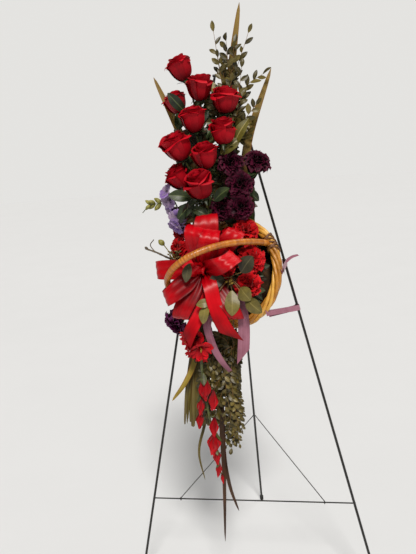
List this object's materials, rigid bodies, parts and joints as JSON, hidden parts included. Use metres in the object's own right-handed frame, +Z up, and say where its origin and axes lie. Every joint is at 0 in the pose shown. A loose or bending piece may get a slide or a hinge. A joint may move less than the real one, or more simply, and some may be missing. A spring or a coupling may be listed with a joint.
{
  "type": "standing funeral spray",
  "caption": "Standing spray of red roses, carnations, hanging leaves and ribbons in a tipped handled basket, tied to a folding wire easel with a hinged back leg.",
  "frame": {"origin": "on the floor, under the middle of the part's box", "axes": "+Z up; the flowers face -Y; +X is to the viewer's right as the front is looked at"},
  "size_m": [0.627, 0.621, 1.4941],
  "materials": {
    "wire": "satin",
    "rubber": "matte",
    "willow": "satin",
    "willow_dark": "matte",
    "liner": "satin",
    "foam": "matte",
    "rose_petal": "matte",
    "rose_green": "matte",
    "dark_carnation": "matte",
    "purple_flower": "matte",
    "red_carnation": "matte",
    "stem_green": "matte",
    "sword_leaf": "satin",
    "flax_olive": "satin",
    "flax_bronze": "satin",
    "bear_grass": "matte",
    "ruscus": "satin",
    "huckleberry": "satin",
    "eucalyptus": "matte",
    "freesia": "matte",
    "bud_green": "matte",
    "twig": "matte",
    "gladiolus": "matte",
    "red_ribbon": "satin",
    "mauve_ribbon": "satin"
  },
  "bodies": {
    "front_frame": {"hinge_pin": "wire", "leg_left": "wire", "foot_left": "rubber", "leg_right": "wire", "foot_right": "rubber", "crossbar": "wire", "basket_rim": "willow", "basket_wall": "willow_dark", "basket_handle": "willow", "liner": "liner", "foam": "foam", "rose_01": "rose_petal", "rose_02": "rose_petal", "rose_03": "rose_petal", "rose_04": "rose_petal", "rose_05": "rose_petal", "rose_06": "rose_petal", "rose_07": "rose_petal", "rose_08": "rose_petal", "rose_09": "rose_petal", "rose_10": "rose_petal", "dark_carnation_1": "dark_carnation", "dark_carnation_2": "dark_carnation", "dark_carnation_3": "dark_carnation", "dark_carnation_4": "dark_carnation", "dark_carnation_5": "dark_carnation", "red_carnation_1": "red_carnation", "red_carnation_2": "red_carnation", "red_carnation_3": "red_carnation", "red_carnation_4": "red_carnation", "red_carnation_5": "red_carnation", "red_carnation_6": "red_carnation", "purple_flower": "purple_flower", "freesia_flowers": "freesia", "gladiolus_flowers": "gladiolus", "rose_greens_high": "rose_green", "rose_greens_low": "rose_green", "dark_carnation_greens": "stem_green", "side_carnation_greens": "stem_green", "red_carnation_greens": "stem_green", "sword_leaf_centre": "sword_leaf", "sword_leaf_left": "sword_leaf", "sword_leaf_right": "sword_leaf", "flax_leaf_olive": "flax_olive", "flax_leaves_bronze": "flax_bronze", "bear_grass": "bear_grass", "ruscus": "ruscus", "huckleberry": "huckleberry", "eucalyptus": "eucalyptus", "freesia_greens": "bud_green", "twig": "twig", "gladiolus_greens": "stem_green", "bow": "red_ribbon", "ribbon_tails": "mauve_ribbon", "ribbon_tie": "mauve_ribbon"},
    "back_leg": {"leg_back": "wire", "foot_back": "rubber"},
    "spreader": {"spreader_left": "wire", "spreader_right": "wire"}
  },
  "joints": [
    {"name": "back_leg_fold", "type": "hinge", "parent": "front_frame", "child": "back_leg", "pos_m": [0, 0.001, 1.333], "axis": [1, 0, 0], "range_deg": [-15, 0]},
    {"name": "spreader_fold", "type": "hinge", "parent": "front_frame", "child": "spreader", "pos_m": [0, -0.10288, 0.222], "axis": [1, 0, 0], "range_deg": [0, 60]}
  ],
  "couplings": [
    {"joint": "spreader_fold", "follows": "back_leg_fold", "ratio": -4}
  ]
}
